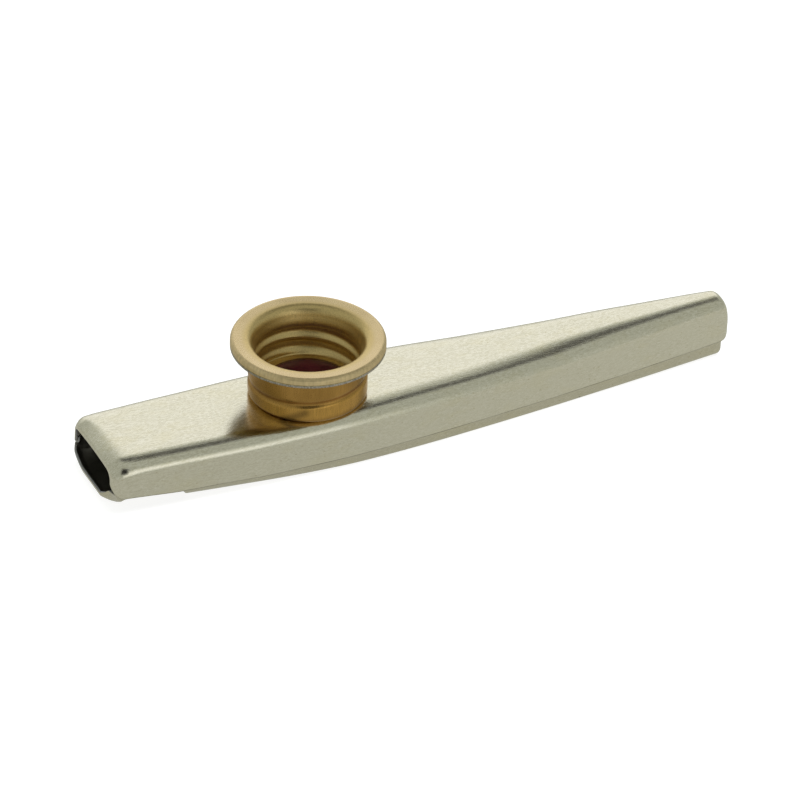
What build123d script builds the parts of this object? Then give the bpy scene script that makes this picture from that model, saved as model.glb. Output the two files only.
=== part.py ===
"""A metal kazoo: two nested tinplate shells, a brass turret socket, a screw cap and a membrane."""

import os
from math import atan2, cos, sin

from build123d import *

os.makedirs("parts", exist_ok=True)

# Body, in millimetres. X runs from the mouth end to the narrow nose, Z up, and the floor rests on Z = 0.
body_length = 119.5
mouth_height = 9.55
nose_height = 11.8
mouth_half_width = 9.2
turret_half_width = 10.25
nose_half_width = 2.6
turret_from_mouth = 39.4
sheet = 0.35
nest_gap = 0.08

# Rounding between the flat top and the sides, which swells along the tapering waist
mouth_edge_radius = 2.5
turret_edge_radius = 3.1
waist_edge_radius = 3.6
nose_edge_radius = 2.4

# Rounding between the floor and the sides: a full curve at the lower lip, a tight one farther back
lip_floor_radius = 5.4
neck_floor_radius = 2.9
belly_floor_radius = 1.2
nose_floor_radius = 1.6

# Rolled ends: how far each end curls in, and where the openings stop
mouth_roll = 1.8
nose_roll = 1.2
lip_edge_height = 1.25
tray_set_back = 1.2
tray_nose_roll = 0.9

# Lower edge of the top shell, above the floor, and its rounded end corners
mouth_seam_height = 3.2
belly_seam_height = 2.2
waist_seam_height = 2.65
nose_seam_height = 3.4
mouth_corner_radius = 2.4
nose_corner_radius = 1.4
tray_wall_height = 5.6
floor_allowance = 0.03

# Where the body's cross sections stand, and how far each has gone from one named size to the next
neck_share = 0.48
waist_shares = (0.25, 0.5, 0.75)
neck_width_share = 0.62
taper_width_shares = (0.145, 0.411, 0.703)
neck_edge_share = 0.5
shoulder_edge_share = 0.65
tail_edge_share = 0.2
tail_floor_share = 0.5
lip_opening_share = 0.69

# Turret: a brass socket as wide as the body, clenched through the top shell, measured along its own axis
brass = 0.35
socket_inset = 0.05
socket_height = 9.6
foot_radius = 0.9
floor_width = 3.7
neck_clearance = 0.1
flare_width = 0.7
clench_radius = 0.3

# Screw cap, drawn from one brass disc: clamping lip, tube, throat, flange and turned-down rim
thread_clearance = 0.06
lip_width = 2.4
cap_foot_radius = 0.8
throat_radius = 1.3
flange_width = 3.45
flange_height = 10.9
rim_radius = 0.45
rim_drop = 1.6

# Membrane: a film on a fibre ring, held down on the socket's floor by the cap
ring_clearance = 0.75
ring_width = 2.1
ring_thickness = 1.1
film_thickness = 0.1

# One overrun for every cut that passes out of the work
overrun = 2.0

mouth_x = -body_length / 2
nose_x = body_length / 2
turret_x = mouth_x + turret_from_mouth
socket_radius = turret_half_width - socket_inset
neck_radius = socket_radius - floor_width
ring_radius = socket_radius - brass - ring_clearance
cap_radius = socket_radius - brass - thread_clearance
top_angle = atan2(nose_height - mouth_height, body_length)


def between(start, end, share):
    return start + (end - start) * share


def top_height(x):
    """Height of the sloping flat top at one place along the body."""
    return between(mouth_height, nose_height, (x - mouth_x) / body_length)


# Each cross section: place along X, half width, rounding of the top edges, rounding of the floor
waist_x = [between(turret_x, nose_x, share) for share in waist_shares]
waist_widths = [between(turret_half_width, nose_half_width, share) for share in taper_width_shares]
shoulder_edge = between(turret_edge_radius, waist_edge_radius, shoulder_edge_share)
tail_edge = between(waist_edge_radius, nose_edge_radius, tail_edge_share)
tail_floor = between(belly_floor_radius, nose_floor_radius, tail_floor_share)
sections = [
    (mouth_x, mouth_half_width, mouth_edge_radius, lip_floor_radius),
    (
        between(mouth_x, turret_x, neck_share),
        between(mouth_half_width, turret_half_width, neck_width_share),
        between(mouth_edge_radius, turret_edge_radius, neck_edge_share),
        neck_floor_radius,
    ),
    (turret_x, turret_half_width, turret_edge_radius, belly_floor_radius),
    (waist_x[0], waist_widths[0], shoulder_edge, belly_floor_radius),
    (waist_x[1], waist_widths[1], waist_edge_radius, belly_floor_radius),
    (waist_x[2], waist_widths[2], tail_edge, tail_floor),
    (nose_x, nose_half_width, nose_edge_radius, nose_floor_radius),
]

# The turret stands square to the sloping top: its own plane, and the plane of its half section
turret_foot = (turret_x, 0, top_height(turret_x))
turret_along = (cos(top_angle), 0, sin(top_angle))
turret_up = (-sin(top_angle), 0, cos(top_angle))
turret_plane = Plane(origin=turret_foot, x_dir=turret_along, z_dir=turret_up)
turret_section = Plane(origin=turret_foot, x_dir=turret_along, z_dir=(0, -1, 0))
turret_axis = Axis(turret_foot, turret_up)


def top_blank(inset, mouth_end, nose_end, mouth_round, nose_round):
    """Solid form of the top shell, set in all round by one distance, with both ends rolled."""
    with BuildPart() as blank:
        for x, half_width, edge_radius, _ in sections:
            with BuildSketch(Plane.YZ.offset(x)) as outline:
                Rectangle(2 * (half_width - inset), top_height(x) - inset, align=(Align.CENTER, Align.MIN))
                fillet(outline.vertices().group_by(Axis.Y)[-1], edge_radius - inset)
        loft()
        split(bisect_by=Plane.YZ.offset(mouth_end), keep=Keep.TOP)
        split(bisect_by=Plane.YZ.offset(nose_end), keep=Keep.BOTTOM)
        fillet(blank.faces().sort_by(Axis.X)[0].edges().sort_by(Axis.Z)[1:], mouth_round)
        fillet(blank.faces().sort_by(Axis.X)[-1].edges().sort_by(Axis.Z)[1:], nose_round)
    return blank.part


def tray_blank(inset, rise, wall_height, mouth_end, nose_end, mouth_round, nose_round):
    """Solid form of the bottom shell: a floor at one rise off the rest plane, rounded into low sides."""
    with BuildPart() as blank:
        for x, half_width, _, floor_radius in sections:
            with BuildSketch(Plane.YZ.offset(x)) as outline:
                with Locations((0, rise)):
                    Rectangle(2 * (half_width - inset), wall_height, align=(Align.CENTER, Align.MIN))
                fillet(outline.vertices().group_by(Axis.Y)[0], floor_radius - rise)
        loft()
        split(bisect_by=Plane.YZ.offset(mouth_end), keep=Keep.TOP)
        split(bisect_by=Plane.YZ.offset(nose_end), keep=Keep.BOTTOM)
        fillet(blank.faces().sort_by(Axis.X)[0].edges().sort_by(Axis.Z)[:-1], mouth_round)
        fillet(blank.faces().sort_by(Axis.X)[-1].edges().sort_by(Axis.Z)[:-1], nose_round)
    return blank.part


# Mouth and nose openings, cut out of both shells where their ends have rolled in
mouth_opening = mouth_height - mouth_roll - lip_edge_height
with BuildPart() as mouth_cut:
    with BuildSketch(Plane.YZ.offset(mouth_x - overrun)) as mouth_outline:
        with Locations((0, lip_edge_height)):
            Rectangle(2 * (mouth_half_width - mouth_roll), mouth_opening, align=(Align.CENTER, Align.MIN))
        fillet(mouth_outline.vertices().group_by(Axis.Y)[0], mouth_opening * lip_opening_share)
        fillet(mouth_outline.vertices().group_by(Axis.Y)[-1], mouth_edge_radius - mouth_roll)
    extrude(amount=overrun + mouth_roll)

with BuildPart() as nose_cut:
    with BuildSketch(Plane.YZ.offset(nose_x - tray_set_back - nose_roll)) as nose_outline:
        with Locations((0, tray_nose_roll)):
            Rectangle(
                2 * (nose_half_width - nose_roll),
                nose_height - nose_roll - tray_nose_roll,
                align=(Align.CENTER, Align.MIN),
            )
        fillet(nose_outline.vertices().group_by(Axis.Y)[-1], nose_edge_radius - nose_roll)
    extrude(amount=tray_set_back + nose_roll + overrun)

# Everything under the top shell's lower edge, with its rounded front and rear corners
with BuildPart() as seam_cut:
    with BuildSketch(Plane.XZ):
        with BuildLine():
            front_low = (mouth_x + mouth_corner_radius, mouth_seam_height)
            front_high = (mouth_x, mouth_seam_height + mouth_corner_radius)
            rear_low = (nose_x - nose_corner_radius, nose_seam_height)
            rear_high = (nose_x, nose_seam_height + nose_corner_radius)
            Spline(
                front_low,
                (turret_x, belly_seam_height),
                (waist_x[1], belly_seam_height),
                (waist_x[2], waist_seam_height),
                rear_low,
            )
            RadiusArc(front_low, front_high, mouth_corner_radius)
            RadiusArc(rear_high, rear_low, nose_corner_radius)
            Polyline(
                front_high,
                (mouth_x - overrun, mouth_seam_height + mouth_corner_radius),
                (mouth_x - overrun, -overrun),
                (nose_x + overrun, -overrun),
                (nose_x + overrun, nose_seam_height + nose_corner_radius),
                rear_high,
            )
        make_face()
    extrude(amount=turret_half_width + overrun, both=True)

top_hollow = top_blank(sheet, mouth_x + sheet, nose_x - sheet, mouth_roll - sheet, nose_roll - sheet)
with BuildPart() as top_shell:
    add(top_blank(0, mouth_x, nose_x, mouth_roll, nose_roll))
    add(top_hollow, mode=Mode.SUBTRACT)
    add(mouth_cut.part, mode=Mode.SUBTRACT)
    add(nose_cut.part, mode=Mode.SUBTRACT)
    add(seam_cut.part, mode=Mode.SUBTRACT)
    with BuildSketch(turret_plane):
        Circle(neck_radius + neck_clearance)
    extrude(amount=turret_edge_radius, both=True, mode=Mode.SUBTRACT)
top_shell.part.label = "top_shell"
export_step(top_shell.part, "parts/top_shell.step")

tray_inset = sheet + nest_gap
tray_nose_x = nose_x - tray_set_back
tray_hollow = tray_blank(
    tray_inset + sheet,
    sheet,
    tray_wall_height,
    mouth_x + tray_inset + sheet,
    tray_nose_x - sheet,
    mouth_roll - tray_inset - sheet,
    tray_nose_roll - sheet,
)
with BuildPart() as bottom_shell:
    add(
        tray_blank(
            tray_inset,
            -floor_allowance,
            tray_wall_height,
            mouth_x + tray_inset,
            tray_nose_x,
            mouth_roll - tray_inset,
            tray_nose_roll,
        )
    )
    add(tray_hollow, mode=Mode.SUBTRACT)
    add(mouth_cut.part, mode=Mode.SUBTRACT)
    add(nose_cut.part, mode=Mode.SUBTRACT)
    split(bisect_by=Plane.XY, keep=Keep.TOP)
bottom_shell.part.label = "bottom_shell"
export_step(bottom_shell.part, "parts/bottom_shell.step")

# Socket wall, traced along the middle of the brass: clenched flare, neck, floor, foot and tube
flare_level = -sheet - brass / 2
floor_level = brass / 2
neck_middle = neck_radius - brass / 2
tube_middle = socket_radius - brass / 2
with BuildPart() as turret_socket:
    with BuildSketch(turret_section):
        with BuildLine() as socket_wall:
            FilletPolyline(
                (neck_radius + flare_width, flare_level),
                (neck_middle, flare_level),
                (neck_middle, floor_level),
                (tube_middle, floor_level),
                (tube_middle, socket_height),
                radius=[clench_radius, clench_radius, foot_radius],
            )
        trace(socket_wall.line, line_width=brass)
    revolve(axis=turret_axis)
turret_socket.part.label = "turret_socket"
export_step(turret_socket.part, "parts/turret_socket.step")

# Membrane ring on the socket's floor, with the film stretched over it
with BuildPart() as membrane_ring:
    with BuildSketch(turret_plane.offset(brass)):
        Circle(ring_radius)
        Circle(ring_radius - ring_width, mode=Mode.SUBTRACT)
    extrude(amount=ring_thickness)
membrane_ring.part.label = "membrane_ring"
export_step(membrane_ring.part, "parts/membrane_ring.step")

film_level = brass + ring_thickness
with BuildPart() as membrane:
    with BuildSketch(turret_plane.offset(film_level)):
        Circle(ring_radius)
    extrude(amount=film_thickness)
membrane.part.label = "membrane"
export_step(membrane.part, "parts/membrane.step")

# Cap wall, traced along the middle of the brass: lip, tube, throat, flange and rim
lip_level = film_level + film_thickness + brass / 2
cap_middle = cap_radius - brass / 2
flange_level = flange_height - brass / 2
rim_middle = cap_radius + flange_width - brass / 2
with BuildPart() as screw_cap:
    with BuildSketch(turret_section):
        with BuildLine() as cap_wall:
            FilletPolyline(
                (cap_middle - lip_width, lip_level),
                (cap_middle, lip_level),
                (cap_middle, flange_level),
                (rim_middle, flange_level),
                (rim_middle, flange_height - rim_drop),
                radius=[cap_foot_radius, throat_radius, rim_radius],
            )
        trace(cap_wall.line, line_width=brass)
    revolve(axis=turret_axis)
screw_cap.part.label = "screw_cap"
export_step(screw_cap.part, "parts/screw_cap.step")
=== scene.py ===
import math

import bmesh
import bpy
from mathutils import Matrix, Vector


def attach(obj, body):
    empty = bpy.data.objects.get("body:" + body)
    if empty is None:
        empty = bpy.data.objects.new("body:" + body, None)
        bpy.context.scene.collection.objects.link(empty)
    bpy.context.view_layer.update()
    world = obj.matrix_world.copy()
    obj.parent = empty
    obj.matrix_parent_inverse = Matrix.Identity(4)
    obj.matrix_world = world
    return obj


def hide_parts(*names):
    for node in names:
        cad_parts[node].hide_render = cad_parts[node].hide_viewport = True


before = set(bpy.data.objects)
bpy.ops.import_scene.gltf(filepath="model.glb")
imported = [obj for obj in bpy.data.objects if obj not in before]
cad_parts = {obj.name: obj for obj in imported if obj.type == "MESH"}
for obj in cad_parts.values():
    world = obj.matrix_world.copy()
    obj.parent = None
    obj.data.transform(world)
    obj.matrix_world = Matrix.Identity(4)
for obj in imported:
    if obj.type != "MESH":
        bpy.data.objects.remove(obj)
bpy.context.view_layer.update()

scene = bpy.context.scene
MM = 0.001

# The body's lines, in millimetres along X from the mouth end to the nose
MOUTH_X, NOSE_X, TURRET_X = -59.75, 59.75, -20.35
MOUTH_TOP, NOSE_TOP = 9.55, 11.8
SHEET, NEST = 0.35, 0.08
TONGUE_X, TRAY_WALL = -45.8, 5.6


def curve(*points):
    """A smooth line through (x, value) points: cubic pieces whose slopes never overshoot."""
    xs = [p[0] for p in points]
    ys = [p[1] for p in points]
    rises = [(ys[i + 1] - ys[i]) / (xs[i + 1] - xs[i]) for i in range(len(xs) - 1)]
    slopes = [rises[0]]
    for a, b in zip(rises, rises[1:]):
        slopes.append(0.0 if a * b <= 0 else 2 * a * b / (a + b))
    slopes.append(rises[-1])

    def at(x):
        x = min(max(x, xs[0]), xs[-1])
        i = max(k for k in range(len(xs) - 1) if xs[k] <= x)
        h = xs[i + 1] - xs[i]
        t = (x - xs[i]) / h
        return (
            ys[i] * (1 + 2 * t) * (1 - t) ** 2
            + slopes[i] * h * t * (1 - t) ** 2
            + ys[i + 1] * t * t * (3 - 2 * t)
            - slopes[i + 1] * h * t * t * (1 - t)
        )

    return at


half_width = curve(
    (MOUTH_X, 9.2), (-52.2, 9.42), (-41.6, 9.84), (-31.0, 10.2), (-23.0, 10.27), (-18.0, 10.24),
    (-9.8, 9.86), (0.9, 9.04), (11.4, 8.0), (22.0, 6.85), (32.6, 5.66), (43.2, 4.48), (53.9, 3.26),
    (NOSE_X, 2.6),
)
edge_radius = curve(
    (MOUTH_X, 3.5), (-57.5, 3.05), (-55.0, 2.6), (-50.0, 2.5), (-40.0, 2.68), (TURRET_X, 2.92),
    (0.0, 3.25), (20.0, 3.1), (40.0, 3.1), (52.0, 2.8), (NOSE_X, 2.4),
)
shoulder_radius = curve(
    (MOUTH_X, 3.5), (-57.5, 3.6), (-55.0, 4.2), (-40.0, 4.5), (TURRET_X, 6.2), (0.0, 8.5), (20.0, 7.0),
    (27.0, 5.8), (40.0, 4.2), (52.0, 3.0), (NOSE_X, 2.4),
)
shoulder_turn = curve(
    (MOUTH_X, 28.0), (-55.0, 27.0), (-40.0, 22.0), (TURRET_X, 15.0), (0.0, 14.0), (20.0, 23.0),
    (27.0, 31.0), (40.0, 28.0), (52.0, 19.0), (NOSE_X, 12.0),
)
saddle = curve(
    (MOUTH_X, 0.3), (-45.0, 0.13), (-33.0, 0.0), (-8.0, 0.0), (12.0, -0.22), (25.0, -0.16), (40.0, 0.16),
    (52.0, 0.14), (NOSE_X, 0.0),
)
seam = curve(
    (MOUTH_X, 3.3), (-57.0, 3.2), (-53.0, 2.9), (-47.0, 2.5), (-40.0, 2.42), (-31.0, 2.18),
    (TURRET_X, 2.2), (20.0, 2.3), (40.0, 2.65), (NOSE_X, 3.4),
)
tongue_radius = curve((MOUTH_X, 5.3), (-53.0, 5.2), (-45.0, 5.0))
floor_radius = curve(
    (MOUTH_X, 5.0), (-47.0, 3.5), (-42.0, 3.0), (-35.0, 2.4), (-27.7, 1.68), (TURRET_X, 1.15),
    (-12.6, 0.8), (3.0, 0.6), (20.0, 0.55), (35.0, 0.75), (52.0, 1.3), (NOSE_X, 1.6),
)


def top_plane(x):
    return MOUTH_TOP + (NOSE_TOP - MOUTH_TOP) * (x - MOUTH_X) / (NOSE_X - MOUTH_X)


def top_height(x):
    return top_plane(x) + saddle(x)


def smoothstep(a, b, x):
    t = min(max((x - a) / (b - a), 0.0), 1.0)
    return t * t * (3 - 2 * t)


def corner(distance, radius):
    """How far a rounded corner lifts an edge, at one distance from the corner's end."""
    if distance >= radius:
        return 0.0
    return radius - math.sqrt(max(radius**2 - (radius - distance) ** 2, 0.0))


def steps(start, end, count):
    return [start + (end - start) * i / count for i in range(count + 1)]


def across(*runs):
    """Columns of half a section: (part of it, share of the way along that part), joints only once."""
    out = []
    for name, count in runs:
        out += [(name, i / count) for i in range(0 if not out else 1, count + 1)]
    return out


ROLL_STEP_DEGREES = 6


def roll(*arcs):
    """A rolled end, from its start: (how far along, how far in) through arcs of (radius, degrees)."""
    points, turn = [(0.0, 0.0)], 0.0
    for radius, degrees in arcs:
        along, inward = points[-1]
        for a in steps(turn, turn + math.radians(degrees), max(3, round(degrees / ROLL_STEP_DEGREES)))[1:]:
            further = radius * (math.sin(a) - math.sin(turn))
            deeper = radius * (math.cos(turn) - math.cos(a))
            points.append((along + further, inward + deeper))
        turn += math.radians(degrees)
    return points


def rows_along(mouth_end, nose_end, mouth, nose, count, extra=()):
    """Rows along the body: (x, how far the sheet has rolled in there)."""
    start, stop = mouth_end + mouth[-1][0], nose_end - nose[-1][0]
    rows = [(start - a, b) for a, b in reversed(mouth[1:])]
    rows += [(x, 0.0) for x in sorted(steps(start, stop, count) + list(extra))]
    return rows + [(stop + a, b) for a, b in nose[1:]]


# Top shell: rolled ends, lower corners, the roll that each part keeps, the far edge, crown and nose lean
MOUTH_ROLL = roll((4.6, 30), (8.0, 6), (0.8, 54))
NOSE_ROLL = roll((1.2, 90))
MOUTH_CORNER, NOSE_CORNER = 2.4, 2.0
WALL_ROLL_SHARE, NEAR_ROLL_SHARE, FAR_ROLL_SHARE = 0.42, 0.85, 0.6
FAR_TURN, FAR_RADIUS, FAR_RADIUS_X = 18.0, 2.5, -50.0
CROWN, CROWN_START_X, CROWN_FULL_X = 0.22, -55.0, -59.5
LEAN, LEAN_START_Z, LEAN_RISE, LEAN_LENGTH = 1.25, 6.5, 5.3, 6.0


def top_seam(x):
    """Lower edge of the top shell, with its rounded end corners."""
    return seam(x) + corner(x - MOUTH_X, MOUTH_CORNER) + corner(NOSE_X - x, NOSE_CORNER)


def drawn(x, share, blend=3.0):
    """A row near the mouth, drawn toward it where the roll is shorter than in the middle of the sheet."""
    reach, d = MOUTH_ROLL[-1][0], x - MOUTH_X
    if d < reach:
        return MOUTH_X + d * share
    if d < reach + blend:
        return MOUTH_X + reach * share + (d - reach) * (1 + reach * (1 - share) / blend)
    return x


def top_point(x, inset, side, part, t):
    """A point of the top shell: wall from the seam up, rounded edge, then flat to the middle.

    The edge bends slowly at first, round the wide shoulder, and then tightly down to the wall.
    """
    edge = NEAR_ROLL_SHARE if side < 0 else FAR_ROLL_SHARE
    share = {
        "wall": WALL_ROLL_SHARE + (edge - WALL_ROLL_SHARE) * t * t,
        "edge": edge,
        "flat": edge + (1 - edge) * t * (2 - t),
    }[part]
    x = drawn(x, share)
    w, r, wide, turn = half_width(x), edge_radius(x), shoulder_radius(x), math.radians(shoulder_turn(x))
    if side > 0:
        turn = min(turn, math.radians(FAR_TURN))
        r = min(r, FAR_RADIUS) if x < FAR_RADIUS_X else r
    wide_y = w - r + (r - wide) * math.sin(turn)
    drop = wide * (1 - math.cos(turn)) + r * math.cos(turn)
    crown = CROWN * smoothstep(CROWN_START_X, CROWN_FULL_X, x)
    z = top_height(x) - (crown * (1 - t) ** 2 if part == "flat" else crown)
    low = top_seam(x)
    if part == "wall":
        y, z = w - inset, low + (z - drop - low) * t
    elif part == "edge":
        a = (1 - t) * math.pi / 2
        if a > turn:
            y, z = w - r + (r - inset) * math.sin(a), z - drop + (r - inset) * math.cos(a)
        else:
            y, z = wide_y + (wide - inset) * math.sin(a), z - wide + (wide - inset) * math.cos(a)
    else:
        y, z = wide_y * (1 - t), z - inset
    lean = LEAN * max(0.0, (z - LEAN_START_Z) / LEAN_RISE) ** 2
    return x - lean * smoothstep(NOSE_X - LEAN_LENGTH, NOSE_X, x), y, z


# Bottom shell: the tongue's step, the lip in the mouth, and where the tongue swells out to the top shell
TONGUE_STEP, TONGUE_DRAW = 0.05, 0.4
LIP_LENGTH, LIP_FORWARD, NEAR_LIP_BACK, FAR_LIP_BACK, FAR_LIP_SHARE = 4.0, 0.3, 0.75, 0.35, 0.4
MOUTH_INSET_SHARE, INSET_EDGE_SHARE, NEAR_INSET_SHARE = 0.5, 0.7, 0.6
FLUSH_START_X, FLUSH_FULL_X, FLUSH_GAP = -56.0, -58.5, 0.03
FLUSH_BELOW_SEAM, FLUSH_HEIGHT, FLUSH_SIDE_SHARE = (0.02, 0.55), 2.6, 0.6


def tray_point(x, inset, side, part, t):
    """A point of the bottom shell: wall from its top down, rounded corner, then floor to the middle.

    Its front tongue has a wider corner, and swells flush with the top shell where that shell's corner is
    cut away.
    """
    if side < 0:
        wall_lip, edge_lip = 0.0, NEAR_LIP_BACK * math.sin(math.pi * t) - LIP_FORWARD * t
    else:
        wall_lip = FAR_LIP_BACK
        edge_lip = FAR_LIP_BACK - (FAR_LIP_BACK + LIP_FORWARD) * smoothstep(0.0, FAR_LIP_SHARE, t)
    lip = {"wall": wall_lip, "edge": edge_lip, "flat": -LIP_FORWARD}[part]
    if x < TONGUE_X and part == "wall":
        inset *= MOUTH_INSET_SHARE
    if x < TONGUE_X and part == "edge":
        grown = smoothstep(0.0, INSET_EDGE_SHARE, t)
        inset *= MOUTH_INSET_SHARE + (1 - MOUTH_INSET_SHARE) * grown
        if side < 0:
            inset *= 1 + NEAR_INSET_SHARE * math.sin(math.pi * t) * grown
    tongue = smoothstep(TONGUE_X + TONGUE_STEP, TONGUE_X - TONGUE_STEP, x)
    k = floor_radius(x) + (tongue_radius(x) - floor_radius(x)) * tongue - inset
    drawn_in = SHEET + NEST + TONGUE_DRAW * tongue
    w = half_width(x) - drawn_in - inset
    if part == "wall":
        y, z = w, TRAY_WALL + (inset + k - TRAY_WALL) * t
    elif part == "edge":
        a = t * math.pi / 2
        y, z = w - k * (1 - math.cos(a)), inset + k * (1 - math.sin(a))
    else:
        y, z = (w - k) * (1 - t), inset
    near_mouth = smoothstep(FLUSH_START_X, FLUSH_FULL_X, x)
    below_seam = smoothstep(*FLUSH_BELOW_SEAM, top_seam(x) - z)
    flush = near_mouth * below_seam * smoothstep(0.0, FLUSH_HEIGHT, z)
    y += (drawn_in - FLUSH_GAP) * flush * smoothstep(0.0, FLUSH_SIDE_SHARE, y / w)
    return x + lip * smoothstep(MOUTH_X + LIP_LENGTH, MOUTH_X, x), y, z


PASSAGE_REACH, PASSAGE_HEIGHT = 50.0 * MM, 5.0 * MM


def faces_out(face):
    """Whether a face of a shell looks away from the passage inside."""
    place = face.calc_center_median()
    middle = Vector((min(max(place.x, -PASSAGE_REACH), PASSAGE_REACH), 0, PASSAGE_HEIGHT))
    return face.normal.dot(place - middle) > 0


def add_object(name, bm, materials):
    """A new object in the scene, with the mesh that was built and its materials."""
    mesh = bpy.data.meshes.new(name)
    bm.to_mesh(mesh)
    bm.free()
    for m in materials:
        mesh.materials.append(m)
    obj = bpy.data.objects.new(name, mesh)
    scene.collection.objects.link(obj)
    return obj


SHARP_DEGREES = 38.0


def smooth_object(name, bm, materials):
    """An object that is shaded smooth, apart from its sharp edges."""
    bmesh.ops.recalc_face_normals(bm, faces=bm.faces[:])
    for f in bm.faces:
        f.smooth = True
    obj = add_object(name, bm, materials)
    obj.data.set_sharp_from_angle(angle=math.radians(SHARP_DEGREES))
    return obj


def sheet_mesh(name, rows, half, point, materials, thickness, line=None):
    """A pressed sheet: a grid laid over the rows and the section's columns, then given its thickness."""
    columns = [(-1, p, t) for p, t in half] + [(1, p, t) for p, t in reversed(half[:-1])]
    nx, ny = len(rows) - 1, len(columns) - 1
    bm = bmesh.new()
    bmesh.ops.create_grid(bm, x_segments=nx, y_segments=ny, size=1.0)
    line_layer = bm.verts.layers.float.new("line")
    upper_layer = bm.verts.layers.float.new("upper")
    for v in bm.verts:
        x, inset = rows[round((v.co.x + 1) / 2 * nx)]
        side, part, t = columns[round((v.co.y + 1) / 2 * ny)]
        x, y, z = point(x, inset, side, part, t)
        v.co = Vector((x, side * y, z)) * MM
        v[line_layer] = line(x, part, t) if line else 0.0
        v[upper_layer] = {"wall": 0.0, "edge": t, "flat": 1.0}[part]
    bm.normal_update()
    bm.faces.ensure_lookup_table()
    if not faces_out(bm.faces[len(bm.faces) // 2]):
        bmesh.ops.reverse_faces(bm, faces=bm.faces[:])
        bm.normal_update()
    outer = set(bm.faces)
    border = [e for e in bm.edges if e.is_boundary]
    out = bm.verts.layers.float_vector.new("out")
    for v in bm.verts:
        v[out] = v.normal
    inner = bmesh.ops.extrude_face_region(bm, geom=bm.faces[:], use_keep_orig=True)["geom"]
    for v in inner:
        if isinstance(v, bmesh.types.BMVert):
            v.co -= v[out] * thickness
    bm.verts.layers.float_vector.remove(out)
    for f in bm.faces:
        f.material_index = 0 if f in outer else 1
    for e in border:
        for f in e.link_faces:
            if f not in outer:
                f.material_index = 2
    return smooth_object(name, bm, materials)


# Turret: everything round its axis is drawn as (radius, height) in millimetres, and spun
tilt = math.atan2(NOSE_TOP - MOUTH_TOP, NOSE_X - MOUTH_X)
turret_along = Vector((math.cos(tilt), 0, math.sin(tilt)))
turret_up = Vector((-math.sin(tilt), 0, math.cos(tilt)))
turret_turn = Matrix((turret_along, (0, 1, 0), turret_up)).transposed()
turret_foot = Vector((TURRET_X, 0, top_plane(TURRET_X)))
TURRET = Matrix.Translation(turret_foot * MM) @ turret_turn.to_4x4() @ Matrix.Scale(MM, 4)

# Rolled thread: its depths and powers, and the heights between which it fades in and out
PITCH, THREAD_LEVEL = 3.0, 4.55
SOCKET_GROOVE, ABOVE_POWER, BELOW_POWER = 0.38, 1.6, 6.0
SOCKET_FADE_LOW, SOCKET_FADE_HIGH, SOCKET_WALL_R = (1.9, 2.8), (6.0, 5.2), 9.0
CAP_GROOVE, CAP_POWER, CAP_FADE_HIGH = 0.7, 2.0, (7.6, 6.6)
TUBE_IN_R, TUBE_OUT_R = 8.6, 10.2
NECK, NECK_Z, NECK_BELOW, NECK_TOP_Z = 0.5, 7.7, 0.95, 10.0


def thread(turn, z):
    """The right-handed thread: 1 on its deepest line to 0 between turns, and whether that line is below."""
    phase = (z - THREAD_LEVEL) / PITCH - turn / (2 * math.pi)
    phase -= round(phase)
    return 0.5 + 0.5 * math.cos(2 * math.pi * phase), phase > 0


def socket_press(r, turn, z):
    """One turn of the thread, a groove that is narrower below than above."""
    if r < SOCKET_WALL_R:
        return 0.0
    depth, above = thread(turn, z)
    groove = SOCKET_GROOVE * depth ** (ABOVE_POWER if above else BELOW_POWER)
    return groove * smoothstep(*SOCKET_FADE_LOW, z) * smoothstep(*SOCKET_FADE_HIGH, z)


def cap_press(r, turn, z):
    """Broad turns of thread in the tube, then a plain neck where the throat begins."""
    if not TUBE_IN_R < r < TUBE_OUT_R:
        return 0.0
    below = min(max((NECK_Z - z) / NECK_BELOW, 0.0), 1.0)
    neck = NECK * math.sqrt(1 - below**2) * smoothstep(NECK_TOP_Z, NECK_Z, z)
    turns = CAP_GROOVE * thread(turn, z)[0] ** CAP_POWER * smoothstep(*CAP_FADE_HIGH, z)
    return math.sqrt(neck * neck + turns * turns)


CORNER_STEPS = 12


def rounded(points, radii, step=0.12):
    """Points along a path whose corners are rounded, closely spaced."""
    path = [Vector(points[0])]
    for before, here, after, r in zip(points, points[1:], points[2:], radii):
        p, a, b = Vector(here), Vector(before) - Vector(here), Vector(after) - Vector(here)
        a.normalize()
        b.normalize()
        half = a.angle(b) / 2
        centre = p + (a + b).normalized() * (r / math.sin(half))
        start = p + a * (r / math.tan(half)) - centre
        turn = (math.pi - 2 * half) * (1 if a.cross(b) > 0 else -1)
        for k in range(CORNER_STEPS + 1):
            c, s = math.cos(-turn * k / CORNER_STEPS), math.sin(-turn * k / CORNER_STEPS)
            path.append(centre + Vector((start.x * c - start.y * s, start.x * s + start.y * c)))
    path.append(Vector(points[-1]))
    dense = [path[0]]
    for p in path[1:]:
        n = max(1, math.ceil((p - dense[-1]).length / step))
        q = dense[-1].copy()
        dense += [q.lerp(p, i / n) for i in range(1, n + 1)]
    return dense


def wall_loop(path, thickness):
    """The closed outline of a wall of one thickness that follows a path."""
    left, right = [], []
    for i, p in enumerate(path):
        d = (path[min(i + 1, len(path) - 1)] - path[max(i - 1, 0)]).normalized()
        n = Vector((-d.y, d.x)) * thickness / 2
        left.append(p + n)
        right.append(p - n)
    return left + right[::-1]


WELD = 1e-5


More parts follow.
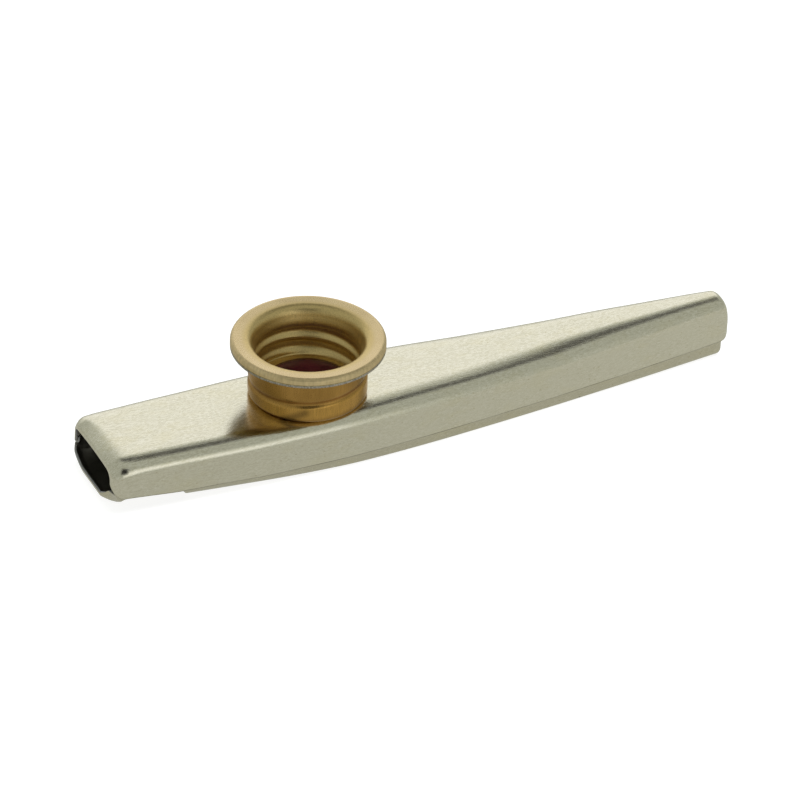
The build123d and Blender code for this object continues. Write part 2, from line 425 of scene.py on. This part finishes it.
def spun(name, loop, materials, press=None, around=240, mark=None, polish_and_highlight=None, painted_reflection=None):
    """A wall turned round the turret's axis, with the thread pressed into it."""
    bm = bmesh.new()
    verts = [bm.verts.new((p.x, 0, p.y)) for p in loop]
    edges = [bm.edges.new((a, b)) for a, b in zip(verts, verts[1:] + verts[:1])]
    bmesh.ops.spin(
        bm, geom=verts + edges, cent=(0, 0, 0), axis=(0, 0, 1), angle=2 * math.pi,
        steps=around, use_merge=True,
    )
    bmesh.ops.remove_doubles(bm, verts=bm.verts[:], dist=WELD)
    if mark:
        for f in bm.faces:
            c = f.calc_center_median()
            f.material_index = mark(math.hypot(c.x, c.y), c.z)
    polish_and_highlight_share, dark_reflection_share = bm.verts.layers.float.new("polish_and_highlight"), bm.verts.layers.float.new("painted_reflection")
    for v in bm.verts:
        r, turn, z = math.hypot(v.co.x, v.co.y), math.atan2(v.co.y, v.co.x), v.co.z
        v[polish_and_highlight_share] = polish_and_highlight(r, turn, z) if polish_and_highlight else 0.0
        v[dark_reflection_share] = painted_reflection(turn, z) if painted_reflection else 0.0
        if press:
            k = (r - press(r, turn, z)) / r
            v.co.x *= k
            v.co.y *= k
    bmesh.ops.transform(bm, matrix=TURRET, verts=bm.verts[:])
    return smooth_object(name, bm, materials)


# Materials
class Nodes:
    """A material and short ways to add and join its nodes."""

    def __init__(self, name):
        self.material = bpy.data.materials.new(name)
        self.material.use_nodes = True
        self.tree = self.material.node_tree
        self.shader = self.tree.nodes["Principled BSDF"]

    def add(self, kind, inputs=None, **settings):
        node = self.tree.nodes.new(kind)
        for k, v in settings.items():
            setattr(node, k, v)
        for k, v in (inputs or {}).items():
            self.put(node.inputs[k], v)
        return node

    def put(self, socket, value):
        if isinstance(value, bpy.types.NodeSocket):
            self.tree.links.new(value, socket)
        else:
            socket.default_value = value

    def coords(self, scale):
        """Object coordinates in millimetres, stretched."""
        place = self.add("ShaderNodeTexCoord").outputs["Object"]
        inputs = {"Vector": place, "Scale": [s / MM for s in scale]}
        return self.add("ShaderNodeMapping", inputs).outputs["Vector"]

    def attribute(self, name):
        return self.add("ShaderNodeAttribute", attribute_name=name).outputs["Fac"]

    def noise(self, scale, detail=3.0, rough=0.6, warp=0.0):
        inputs = {"Vector": self.coords(scale), "Scale": 1.0, "Detail": detail}
        inputs.update({"Roughness": rough, "Distortion": warp})
        return self.add("ShaderNodeTexNoise", inputs).outputs["Fac"]

    def spots(self, scale):
        """How far each place is from the nearest of many scattered points."""
        inputs = {"Vector": self.coords(scale), "Scale": 1.0, "Randomness": 1.0}
        return self.add("ShaderNodeTexVoronoi", inputs).outputs["Distance"]

    def ramp(self, fac, span, to=(0.0, 1.0)):
        inputs = {"Value": fac, "From Min": span[0], "From Max": span[1]}
        inputs.update({"To Min": to[0], "To Max": to[1]})
        return self.add("ShaderNodeMapRange", inputs).outputs["Result"]

    def mix(self, fac, a, b):
        inputs = {"Factor": fac, "A": a, "B": b}
        return self.add("ShaderNodeMix", inputs, data_type="RGBA").outputs["Result"]

    def math(self, how, a, b):
        return self.add("ShaderNodeMath", {0: a, 1: b}, operation=how).outputs[0]

    def times(self, a, b):
        return self.math("MULTIPLY", a, b)

    def bump(self, height, distance, strength=1.0, normal=None):
        inputs = {"Height": height, "Distance": distance, "Strength": strength}
        if normal is not None:
            inputs["Normal"] = normal
        return self.add("ShaderNodeBump", inputs).outputs["Normal"]

    def set(self, **inputs):
        for k, v in inputs.items():
            self.put(self.shader.inputs[k.replace("_", " ")], v)
        return self.material

    def show(self, surface):
        """Takes another shader in place of the usual one."""
        self.tree.nodes.remove(self.shader)
        self.put(self.tree.nodes["Material Output"].inputs["Surface"], surface)
        return self.material


def shaded(colour, share):
    return [c * share for c in colour[:3]] + [1]


# Depths of the bumps, and the colours of marks, among them the seam's painted shade and the socket's painted
# dark reflection
FINE, DRAWN, COARSE, WRINKLED = 0.02 * MM, 0.03 * MM, 0.06 * MM, 0.1 * MM
MOTTLE, SPECK, PIT = (0.76, 0.68, 0.40, 1), (0.46, 0.38, 0.18, 1), (0.12, 0.11, 0.07, 1)
SEAM_SHADE, DARK_REFLECTION_COLOUR = (0.10, 0.085, 0.05, 1), (0.07, 0.042, 0.016, 1)
GRAIN_MIDDLE = 0.55


def tinplate(name, light, dark, rough):
    """Tinned sheet: grain drawn along the length, yellow mottling, specks and a line of painted shade along
    the seam.
    """
    m = Nodes(name)
    grain = m.noise((1.4, 3.8, 3.8), detail=5.0, rough=0.72, warp=0.6)
    cloud = m.noise((0.15, 0.35, 0.35))
    uneven = m.ramp(m.noise((0.22, 0.3, 0.3), detail=2.0, rough=0.5), (0.35, 0.65), to=(0.6, 1.3))
    scratch = m.noise((0.06, 9.0, 9.0), detail=2.0, rough=0.5)
    drawn_marks = m.noise((0.5, 5.0, 5.0), rough=0.65)
    upper = m.attribute("upper")
    swing = m.math("SUBTRACT", m.ramp(grain, (0.36, 0.64)), GRAIN_MIDDLE)
    swing = m.times(m.times(swing, m.ramp(upper, (0.0, 1.0), to=(0.7, 1.9))), uneven)
    # Painted shade along the seam, uneven along its length
    line = m.times(m.attribute("line"), m.ramp(cloud, (0.35, 0.65), to=(0.3, 0.6)))
    colour = m.mix(m.math("ADD", swing, GRAIN_MIDDLE), dark, light)
    for share, mark in (
        (m.ramp(scratch, (0.62, 0.74), to=(0.0, 0.25)), shaded(dark, 0.7)),
        (m.ramp(cloud, (0.5, 0.75), to=(0.0, 0.22)), MOTTLE),
        (m.ramp(m.spots((0.6, 0.8, 0.8)), (0.04, 0.15), to=(0.35, 0.0)), SPECK),
        (m.ramp(m.spots((0.11, 0.17, 0.17)), (0.012, 0.032), to=(0.7, 0.0)), PIT),
        (line, SEAM_SHADE),
    ):
        colour = m.mix(share, colour, mark)
    bend = m.times(m.ramp(upper, (0.45, 0.7)), m.ramp(upper, (1.0, 0.86), to=(0.0, 0.8)))
    normal = m.bump(grain, FINE, 0.4, m.bump(drawn_marks, DRAWN, bend))
    rough_here = m.ramp(grain, (0.25, 0.75), to=(rough - 0.04, rough + 0.05))
    return m.set(Base_Color=colour, Metallic=1.0, Roughness=rough_here, Normal=normal)


def inside_metal():
    """The sheet's unpolished inner face: dull, and dark with painted shade."""
    m = Nodes("sheet_inside")
    colour = m.mix(m.noise((0.3, 0.8, 0.8)), (0.18, 0.17, 0.145, 1), (0.36, 0.34, 0.29, 1))
    return m.set(Base_Color=colour, Metallic=0.9, Roughness=0.38)


def sheet_edge():
    """The sheet's cut edge: bright, slightly rough metal."""
    m = Nodes("sheet_edge")
    colour = m.mix(m.noise((4, 4, 4)), (0.42, 0.42, 0.41, 1), (0.7, 0.7, 0.68, 1))
    return m.set(Base_Color=colour, Metallic=0.3, Roughness=0.4)


def brass(name, light, dark, rough, streak, bump, shade=0.35, polish_and_highlight=None, satin=0.0):
    """Drawn brass: uneven colour and fine brushing; where polished or given a painted highlight, another
    colour and a satin face, and a painted dark reflection where marked.
    """
    m = Nodes(name)
    brush = m.noise(streak)
    cloud = m.noise((0.22, 0.22, 0.16))
    grit = m.noise((7, 7, 7), detail=2.0, rough=0.5)
    colour = m.mix(m.ramp(cloud, (0.3, 0.72)), dark, light)
    colour = m.mix(m.ramp(brush, (0.35, 0.7), to=(shade, 0.0)), colour, shaded(dark, 0.6))
    rough_here = m.ramp(grit, (0.3, 0.7), to=(rough - 0.05, rough + 0.06))
    if polish_and_highlight:
        polish_and_highlight_share = m.attribute("polish_and_highlight")
        colour = m.mix(polish_and_highlight_share, colour, m.mix(m.ramp(brush, (0.35, 0.65)), shaded(polish_and_highlight, 0.75), polish_and_highlight))
        # A painted dark reflection on the socket, laid where marked
        dark_reflection_share = m.times(m.attribute("painted_reflection"), m.ramp(brush, (0.3, 0.6), to=(0.45, 0.75)))
        colour = m.mix(dark_reflection_share, colour, DARK_REFLECTION_COLOUR)
        rough_here = m.math("ADD", rough_here, m.times(polish_and_highlight_share, satin))
    normal = m.bump(grit, FINE, bump, m.bump(brush, FINE, bump))
    return m.set(Base_Color=colour, Metallic=1.0, Roughness=rough_here, Normal=normal)


def raw_edge():
    """Sheared edge: rough grey metal."""
    m = Nodes("raw_edge")
    grit = m.noise((4.2, 4.2, 3.0), rough=0.7)
    colour = m.mix(m.ramp(grit, (0.4, 0.6)), (0.26, 0.235, 0.19, 1), (0.58, 0.53, 0.44, 1))
    return m.set(Base_Color=colour, Metallic=0.9, Roughness=0.5, Normal=m.bump(grit, COARSE, 0.6))


def film_material():
    """Thin film: dark red, slightly wrinkled and glossy."""
    m = Nodes("film")
    wrinkle = m.noise((0.5, 0.5, 0.5), warp=0.6)
    colour = m.mix(m.ramp(wrinkle, (0.3, 0.7)), (0.020, 0.003, 0.005, 1), (0.048, 0.007, 0.010, 1))
    return m.set(Base_Color=colour, Roughness=0.16, Normal=m.bump(wrinkle, WRINKLED, 0.2))


def fibre_material():
    """Pressed fibre: dull red brown."""
    m = Nodes("fibre")
    colour = m.mix(m.noise((3, 3, 9)), (0.10, 0.03, 0.02, 1), (0.22, 0.08, 0.05, 1))
    return m.set(Base_Color=colour, Roughness=0.8)


TOP_METAL = tinplate("tinplate_top", (0.87, 0.83, 0.685, 1), (0.70, 0.66, 0.51, 1), rough=0.155)
TRAY_METAL = tinplate("tinplate_tray", (0.735, 0.69, 0.55, 1), (0.585, 0.545, 0.405, 1), rough=0.24)
INSIDE = inside_metal()
EDGE = sheet_edge()
# The socket's polish_and_highlight colour is a painted highlight; the cap's is the colour of its satin
# throat
SOCKET_BRASS = brass(
    "socket_brass", (0.555, 0.315, 0.085, 1), (0.39, 0.215, 0.055, 1),
    rough=0.30, streak=(6, 6, 0.4), bump=0.3, polish_and_highlight=(0.74, 0.43, 0.105, 1),
)
CAP_BRASS = brass(
    "cap_brass", (0.765, 0.60, 0.335, 1), (0.68, 0.525, 0.285, 1),
    rough=0.28, streak=(5, 5, 5), bump=0.3, shade=0.15, polish_and_highlight=(0.80, 0.61, 0.265, 1), satin=0.10,
)
RIM_BRASS = brass(
    "rim_brass", (0.93, 0.735, 0.42, 1), (0.80, 0.63, 0.345, 1),
    rough=0.46, streak=(2.2, 2.2, 0.25), bump=0.6, shade=0.5,
)
# Brass darkened as painted shade: under the flange, in the hidden bend, and a line at the rim's foot
PAINTED_SHADE_BRASS = brass(
    "painted_shade_brass", (0.50, 0.37, 0.13, 1), (0.33, 0.24, 0.08, 1),
    rough=0.5, streak=(5, 5, 5), bump=0.3,
)
RAW = raw_edge()
FILM = film_material()
FIBRE = fibre_material()

# Shells, with a line of painted shade along the top shell's lower edge, where it meets the bottom shell,
# broader at a nick near the mouth
LINE_SHARE, NICK_SHARE, NICK_X, NICK_REACH = 0.02, 0.07, -56.0, 0.6
FINE_WALL_SHARES, WALL_COLUMNS = (0.0, 0.016, 0.036, 0.08), 11
TRAY_MOUTH_X, TRAY_NOSE_X = MOUTH_X + 0.12, NOSE_X - 0.95
TRAY_MOUTH_ROLL, TRAY_NOSE_ROLL = roll((1.68, 88)), roll((0.9, 80))
TONGUE_ROW_GAP, LIP_ROWS_START, LIP_ROWS_END, LIP_ROWS = 0.06, 1.9, 4.1, 22
TOP_ROWS, TRAY_ROWS = 240, 220


def seam_shade(x, part, t):
    """1 on the line of painted shade along the lower edge, 0 elsewhere."""
    share = NICK_SHARE if abs(x - NICK_X) < NICK_REACH else LINE_SHARE
    return 1.0 if part == "wall" and t < share else 0.0


wall_shares = list(FINE_WALL_SHARES[:-1]) + steps(FINE_WALL_SHARES[-1], 1.0, WALL_COLUMNS)
half_top = [("wall", t) for t in wall_shares] + across(("edge", 30), ("flat", 10))[1:]
top_rows = rows_along(MOUTH_X, NOSE_X, MOUTH_ROLL, NOSE_ROLL, TOP_ROWS)
top_metals, tray_metals = [TOP_METAL, INSIDE, EDGE], [TRAY_METAL, INSIDE, EDGE]
top = sheet_mesh("top_shell_sheet", top_rows, half_top, top_point, top_metals, SHEET * MM, seam_shade)
half_tray = across(("wall", 10), ("edge", 44), ("flat", 8))
extra_rows = [TONGUE_X - TONGUE_ROW_GAP, TONGUE_X, TONGUE_X + TONGUE_ROW_GAP]
extra_rows += steps(MOUTH_X + LIP_ROWS_START, MOUTH_X + LIP_ROWS_END, LIP_ROWS)
tray_rows = rows_along(TRAY_MOUTH_X, TRAY_NOSE_X, TRAY_MOUTH_ROLL, TRAY_NOSE_ROLL, TRAY_ROWS, extra_rows)
tray = sheet_mesh("bottom_shell_sheet", tray_rows, half_tray, tray_point, tray_metals, SHEET * MM)

# Socket, with a painted highlight band below the thread and a painted dark reflection, whose ends are (way
# round, height) in millimetres
BRASS = 0.35
SOCKET_POINTS = [(7.2, -0.525), (6.325, -0.525), (6.325, 0.175), (10.025, 0.175), (10.025, 9.6)]
SOCKET_ROUNDS = [0.3, 0.3, 0.9]
# The painted highlight band: its strength, how it fades at the back, and the heights it spans
PAINTED_HIGHLIGHT, BACK_FADE = 0.62, 0.6
HIGHLIGHT_FROM, HIGHLIGHT_TO, HIGHLIGHT_FOOT = (0.1, 0.5), (3.2, 2.2), (0.2, 1.0)
# Where the painted dark reflection runs, its strength, width and core, and the socket's radius
DARK_REFLECTION_START, DARK_REFLECTION_END = Vector((-20.4, 2.2)), Vector((-24.2, 0.3))
DARK_REFLECTION, DARK_REFLECTION_WIDTH, DARK_REFLECTION_CORE, SOCKET_R = 0.85, 1.2, 0.1, 10.0


def socket_painted_highlight(r, turn, z):
    """A painted highlight below the thread, where the wall bulges out."""
    below = THREAD_LEVEL + PITCH * turn / (2 * math.pi) - z
    front = smoothstep(math.pi, math.pi - BACK_FADE, abs(turn))
    band = smoothstep(*HIGHLIGHT_FROM, below) * smoothstep(*HIGHLIGHT_TO, below)
    return PAINTED_HIGHLIGHT * front * band * smoothstep(*HIGHLIGHT_FOOT, z)


def socket_dark_reflection(turn, z):
    """A painted dark reflection that slants down to the foot on the near side."""
    here = Vector((turn * SOCKET_R, z))
    way = DARK_REFLECTION_END - DARK_REFLECTION_START
    share = min(max((here - DARK_REFLECTION_START).dot(way) / way.length_squared, 0.0), 1.0)
    return DARK_REFLECTION * smoothstep(DARK_REFLECTION_WIDTH, DARK_REFLECTION_CORE, (here - DARK_REFLECTION_START.lerp(DARK_REFLECTION_END, share)).length)


socket = spun(
    "turret_socket_wall", wall_loop(rounded(SOCKET_POINTS, SOCKET_ROUNDS), BRASS), [SOCKET_BRASS],
    press=socket_press, polish_and_highlight=socket_painted_highlight, painted_reflection=socket_dark_reflection,
)

# Cap: tube, satin throat, flange, and the turned-down rim with its raw edge
CAP_POINTS = [(7.215, 1.725), (9.615, 1.725), (9.615, 10.525), (13.065, 10.83), (13.065, 9.3)]
CAP_ROUNDS = [0.8, 1.3, 0.5]
RIM_IN_R, RIM_BEND_R, RIM_FACE_R, RIM_BEND_Z = 12.8, 12.72, 13.02, 10.2
RAW_Z, RIM_FOOT_Z = 9.74, 9.86
FLANGE_IN_R, FLANGE_OUT_R, FLANGE_Z, FLANGE_RISE_SHARE, FLANGE_R = 10.915, 12.9, 10.5, 0.06, 9.6
UNDER_TOP_Z, UNDER_FOOT_Z, BEND_R, BEND_Z, BEND_RADIUS = 10.7, 8.1, 10.84, 9.3, 1.3
THROAT_FADE = (11.7, 10.3)


def cap_zone(r, z):
    """Which metal: 1 the raw rim edge, 2 the turned-down rim, 3 painted shade under the flange, in the bend
    and at the rim's foot, 0 the rest.
    """
    if r > RIM_IN_R and z < RIM_FOOT_Z:
        return 1 if z < RAW_Z else 3
    if r > RIM_BEND_R and z > RIM_BEND_Z or r > RIM_FACE_R:
        return 2
    under_flange = FLANGE_IN_R < r < FLANGE_OUT_R and z < FLANGE_Z + FLANGE_RISE_SHARE * (r - FLANGE_R)
    in_bend = r < FLANGE_IN_R and z > UNDER_FOOT_Z and math.hypot(r - BEND_R, z - BEND_Z) < BEND_RADIUS
    return 3 if z < UNDER_TOP_Z and (under_flange or in_bend) else 0


def throat_polish(r, turn, z):
    """Satin inside the tube and throat, fading out on the flange."""
    return smoothstep(*THROAT_FADE, r)


cap = spun(
    "screw_cap_wall", wall_loop(rounded(CAP_POINTS, CAP_ROUNDS), BRASS),
    [CAP_BRASS, RAW, RIM_BRASS, PAINTED_SHADE_BRASS], press=cap_press, mark=cap_zone, polish_and_highlight=throat_polish,
)

# Membrane film and its ring
NEAR_AXIS, RING_IN_R, RING_OUT_R = 0.0001, 7.0, 9.1
RING_LOW, FILM_LOW, FILM_HIGH = 0.35, 1.45, 1.55
FILM_COLUMNS, FILM_AROUND = 16, 128


def between(start, end, count):
    """Points at even steps from one place to another."""
    return [Vector(start).lerp(Vector(end), i / count) for i in range(count + 1)]


film_loop = between((NEAR_AXIS, FILM_LOW), (RING_OUT_R, FILM_LOW), FILM_COLUMNS)
film_loop += between((RING_OUT_R, FILM_HIGH), (NEAR_AXIS, FILM_HIGH), FILM_COLUMNS)
film = spun("membrane_film", film_loop, [FILM], around=FILM_AROUND)
ring_corners = ((RING_IN_R, RING_LOW), (RING_OUT_R, RING_LOW), (RING_OUT_R, FILM_LOW), (RING_IN_R, FILM_LOW))
ring = spun("membrane_ring_band", [Vector(p) for p in ring_corners], [FIBRE], around=FILM_AROUND)

for piece, body, node, slot in (
    (top, "body", "top_shell", "tinplate"),
    (tray, "body", "bottom_shell", "tinplate_under"),
    (socket, "body", "turret_socket", "socket_brass"),
    (cap, "cap", "screw_cap", "cap_brass"),
    (film, "membrane_cartridge", "membrane", "film"),
    (ring, "membrane_cartridge", "membrane_ring", "fibre"),
):
    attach(piece, body)
    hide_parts(node)

# Stage, in metres: a pale floor, and glowing or dark panels that the metal mirrors
WORLD_LEVEL = 0.44
ROOM_COLOUR, PANEL_COLOUR = (0.955, 1.0, 0.925, 1), (0.985, 1.0, 1.0, 1)
FLOOR_REACH, FLOOR_DROP = 6.0, 0.02 * MM
FLOOR_GREY, FLOOR_LIFT, FLOOR_TINT = (0.34, 0.34, 0.34, 1), 0.85, (0.98, 1.0, 0.927, 1)
FLOOR_SPAN, FLOOR_LEVELS = (-0.04, 0.06), (0.48, 0.53)
PANEL_GRID, LEVEL_LIMIT = 32, 0.99
CAMERA_SWING, CAMERA_DIP, CAMERA_ROLL = math.radians(26.06), math.radians(33.87), math.radians(1.71)
back_way = Vector((math.sin(CAMERA_SWING), math.cos(CAMERA_SWING), 0))
side_way = Vector((math.cos(CAMERA_SWING), -math.sin(CAMERA_SWING), 0))


def glow_material(name, level):
    """A panel that glows at its own level in the middle and falls to the room's level at its edges."""
    m = Nodes(name)
    glow = m.attribute("glow")
    colour = m.mix(glow, ROOM_COLOUR, PANEL_COLOUR)
    strength = m.ramp(glow, (0.0, 1.0), to=(WORLD_LEVEL, level))
    return m.show(m.add("ShaderNodeEmission", {"Color": colour, "Strength": strength}).outputs[0])


def panel(name, centre, toward, width, height, level, fade):
    """A card round the object, seen only in reflections; its edges fade over a share of each side."""
    bm = bmesh.new()
    bmesh.ops.create_grid(bm, x_segments=PANEL_GRID, y_segments=PANEL_GRID, size=0.5)
    glow = bm.verts.layers.float.new("glow")
    for v in bm.verts:
        v[glow] = 1.0
        for place, share in zip((v.co.x, -v.co.x, v.co.y, -v.co.y), fade):
            v[glow] *= smoothstep(0.0, share, place + 0.5)
    bmesh.ops.scale(bm, vec=(width, height, 1), verts=bm.verts[:])
    facing = (Vector(toward) - Vector(centre)).normalized()
    turn = Matrix.Rotation(-CAMERA_SWING, 4, "Z")
    if abs(facing.z) < LEVEL_LIMIT:
        turn = facing.to_track_quat("Z", "Y").to_matrix().to_4x4()
    bmesh.ops.transform(bm, matrix=Matrix.Translation(centre) @ turn, verts=bm.verts[:])
    obj = add_object(name, bm, [glow_material(name, level)])
    obj.visible_camera = obj.visible_shadow = False
    return obj


def floor_material():
    """Lit and near white to the camera; in reflections, a plain tone that rises toward the nose."""
    m = Nodes("floor")
    place = m.add("ShaderNodeTexCoord").outputs["Object"]
    along_body = m.add("ShaderNodeSeparateXYZ", {0: place}).outputs["X"]
    tone = m.ramp(along_body, FLOOR_SPAN, to=FLOOR_LEVELS)
    plain = m.add("ShaderNodeEmission", {"Color": FLOOR_TINT, "Strength": tone})
    diffuse = m.add("ShaderNodeBsdfDiffuse", {"Color": FLOOR_GREY})
    lift = m.add("ShaderNodeEmission", {"Strength": FLOOR_LIFT})
    lit = m.add("ShaderNodeAddShader", {0: diffuse.outputs[0], 1: lift.outputs[0]})
    seen = m.add("ShaderNodeLightPath").outputs["Is Camera Ray"]
    either = m.add("ShaderNodeMixShader", {0: seen, 1: plain.outputs[0], 2: lit.outputs[0]})
    return m.show(either.outputs[0])


floor_bm = bmesh.new()
bmesh.ops.create_grid(floor_bm, x_segments=1, y_segments=1, size=FLOOR_REACH)
bmesh.ops.translate(floor_bm, vec=(0, 0, -FLOOR_DROP), verts=floor_bm.verts[:])
add_object("floor", floor_bm, [floor_material()])


def stage_place(back, side, height=0.0):
    """A place on the stage, as the camera sees it: how far behind, how far to the right and how high."""
    return back_way * back + side_way * side + Vector((0, 0, height))


centre = (-0.005, 0, 0.008)
panel(
    "back_panel", stage_place(0.874, -0.61, 0.473), stage_place(0.0, -0.61),
    width=2.38, height=0.996, level=1.0, fade=(0.735, 0.1, 0.1, 0.4),
)
panel(
    "dark_ceiling", stage_place(0.36, 0.375, 0.92), stage_place(0.36, 0.375),
    width=1.75, height=0.6, level=0.085, fade=(0.17, 0.57, 0.2, 0.5),
)
card = panel(
    "front_floor", stage_place(-0.335, 0.15, 0.001), stage_place(-0.335, 0.15, 1.0),
    width=0.6, height=0.53, level=0.85, fade=(0.2, 0.5, 0.2, 0.35),
)
card.visible_diffuse = False
panel(
    "front_strip", (0.115, -1.1, 0.45), (0.115, 0, 0.45),
    width=1.43, height=0.9, level=1.0, fade=(0.45, 0.1, 0.1, 0.75),
)
panel(
    "dark_front", Vector((-0.365, -0.746, 0.557)) * 0.7, centre,
    width=0.56, height=0.56, level=0.02, fade=(0.3, 0.3, 0.3, 0.3),
)

world = bpy.data.worlds.new("studio")
scene.world = world
world.use_nodes = True
room = world.node_tree.nodes["Background"]
room.inputs["Color"].default_value = ROOM_COLOUR
room.inputs["Strength"].default_value = WORLD_LEVEL

light = bpy.data.lights.new("key", "AREA")
light.shape = "RECTANGLE"
light.size, light.size_y, light.energy = 0.6, 0.6, 6.0
key = bpy.data.objects.new("key", light)
key.location = (0.15, -0.1, 0.9)
key.rotation_mode = "QUATERNION"
key.rotation_quaternion = (key.location - Vector(centre)).to_track_quat("Z", "Y")
key.visible_glossy = False
scene.collection.objects.link(key)

# Camera, placed as in the photo: its place, in millimetres, and its axes are given in the turret's frame
CAMERA_PLACE = Vector((-357.60, -767.16, 566.60))
down = -math.sin(CAMERA_DIP)
ahead = math.cos(CAMERA_DIP)
look = Vector((math.sin(CAMERA_SWING) * ahead, math.cos(CAMERA_SWING) * ahead, down))
lift = side_way.cross(look)
right = math.cos(CAMERA_ROLL) * side_way + math.sin(CAMERA_ROLL) * lift
rise = -math.sin(CAMERA_ROLL) * side_way + math.cos(CAMERA_ROLL) * lift
axes = turret_turn @ Matrix((right, rise, -look)).transposed()
camera_data = bpy.data.cameras.new("camera")
camera_data.lens, camera_data.sensor_width, camera_data.shift_y = 270.0, 36.0, 0.00056
camera = bpy.data.objects.new("camera", camera_data)
camera.matrix_world = Matrix.Translation((turret_foot + turret_turn @ CAMERA_PLACE) * MM) @ axes.to_4x4()
scene.collection.objects.link(camera)
scene.camera = camera
scene.view_settings.view_transform = "Standard"
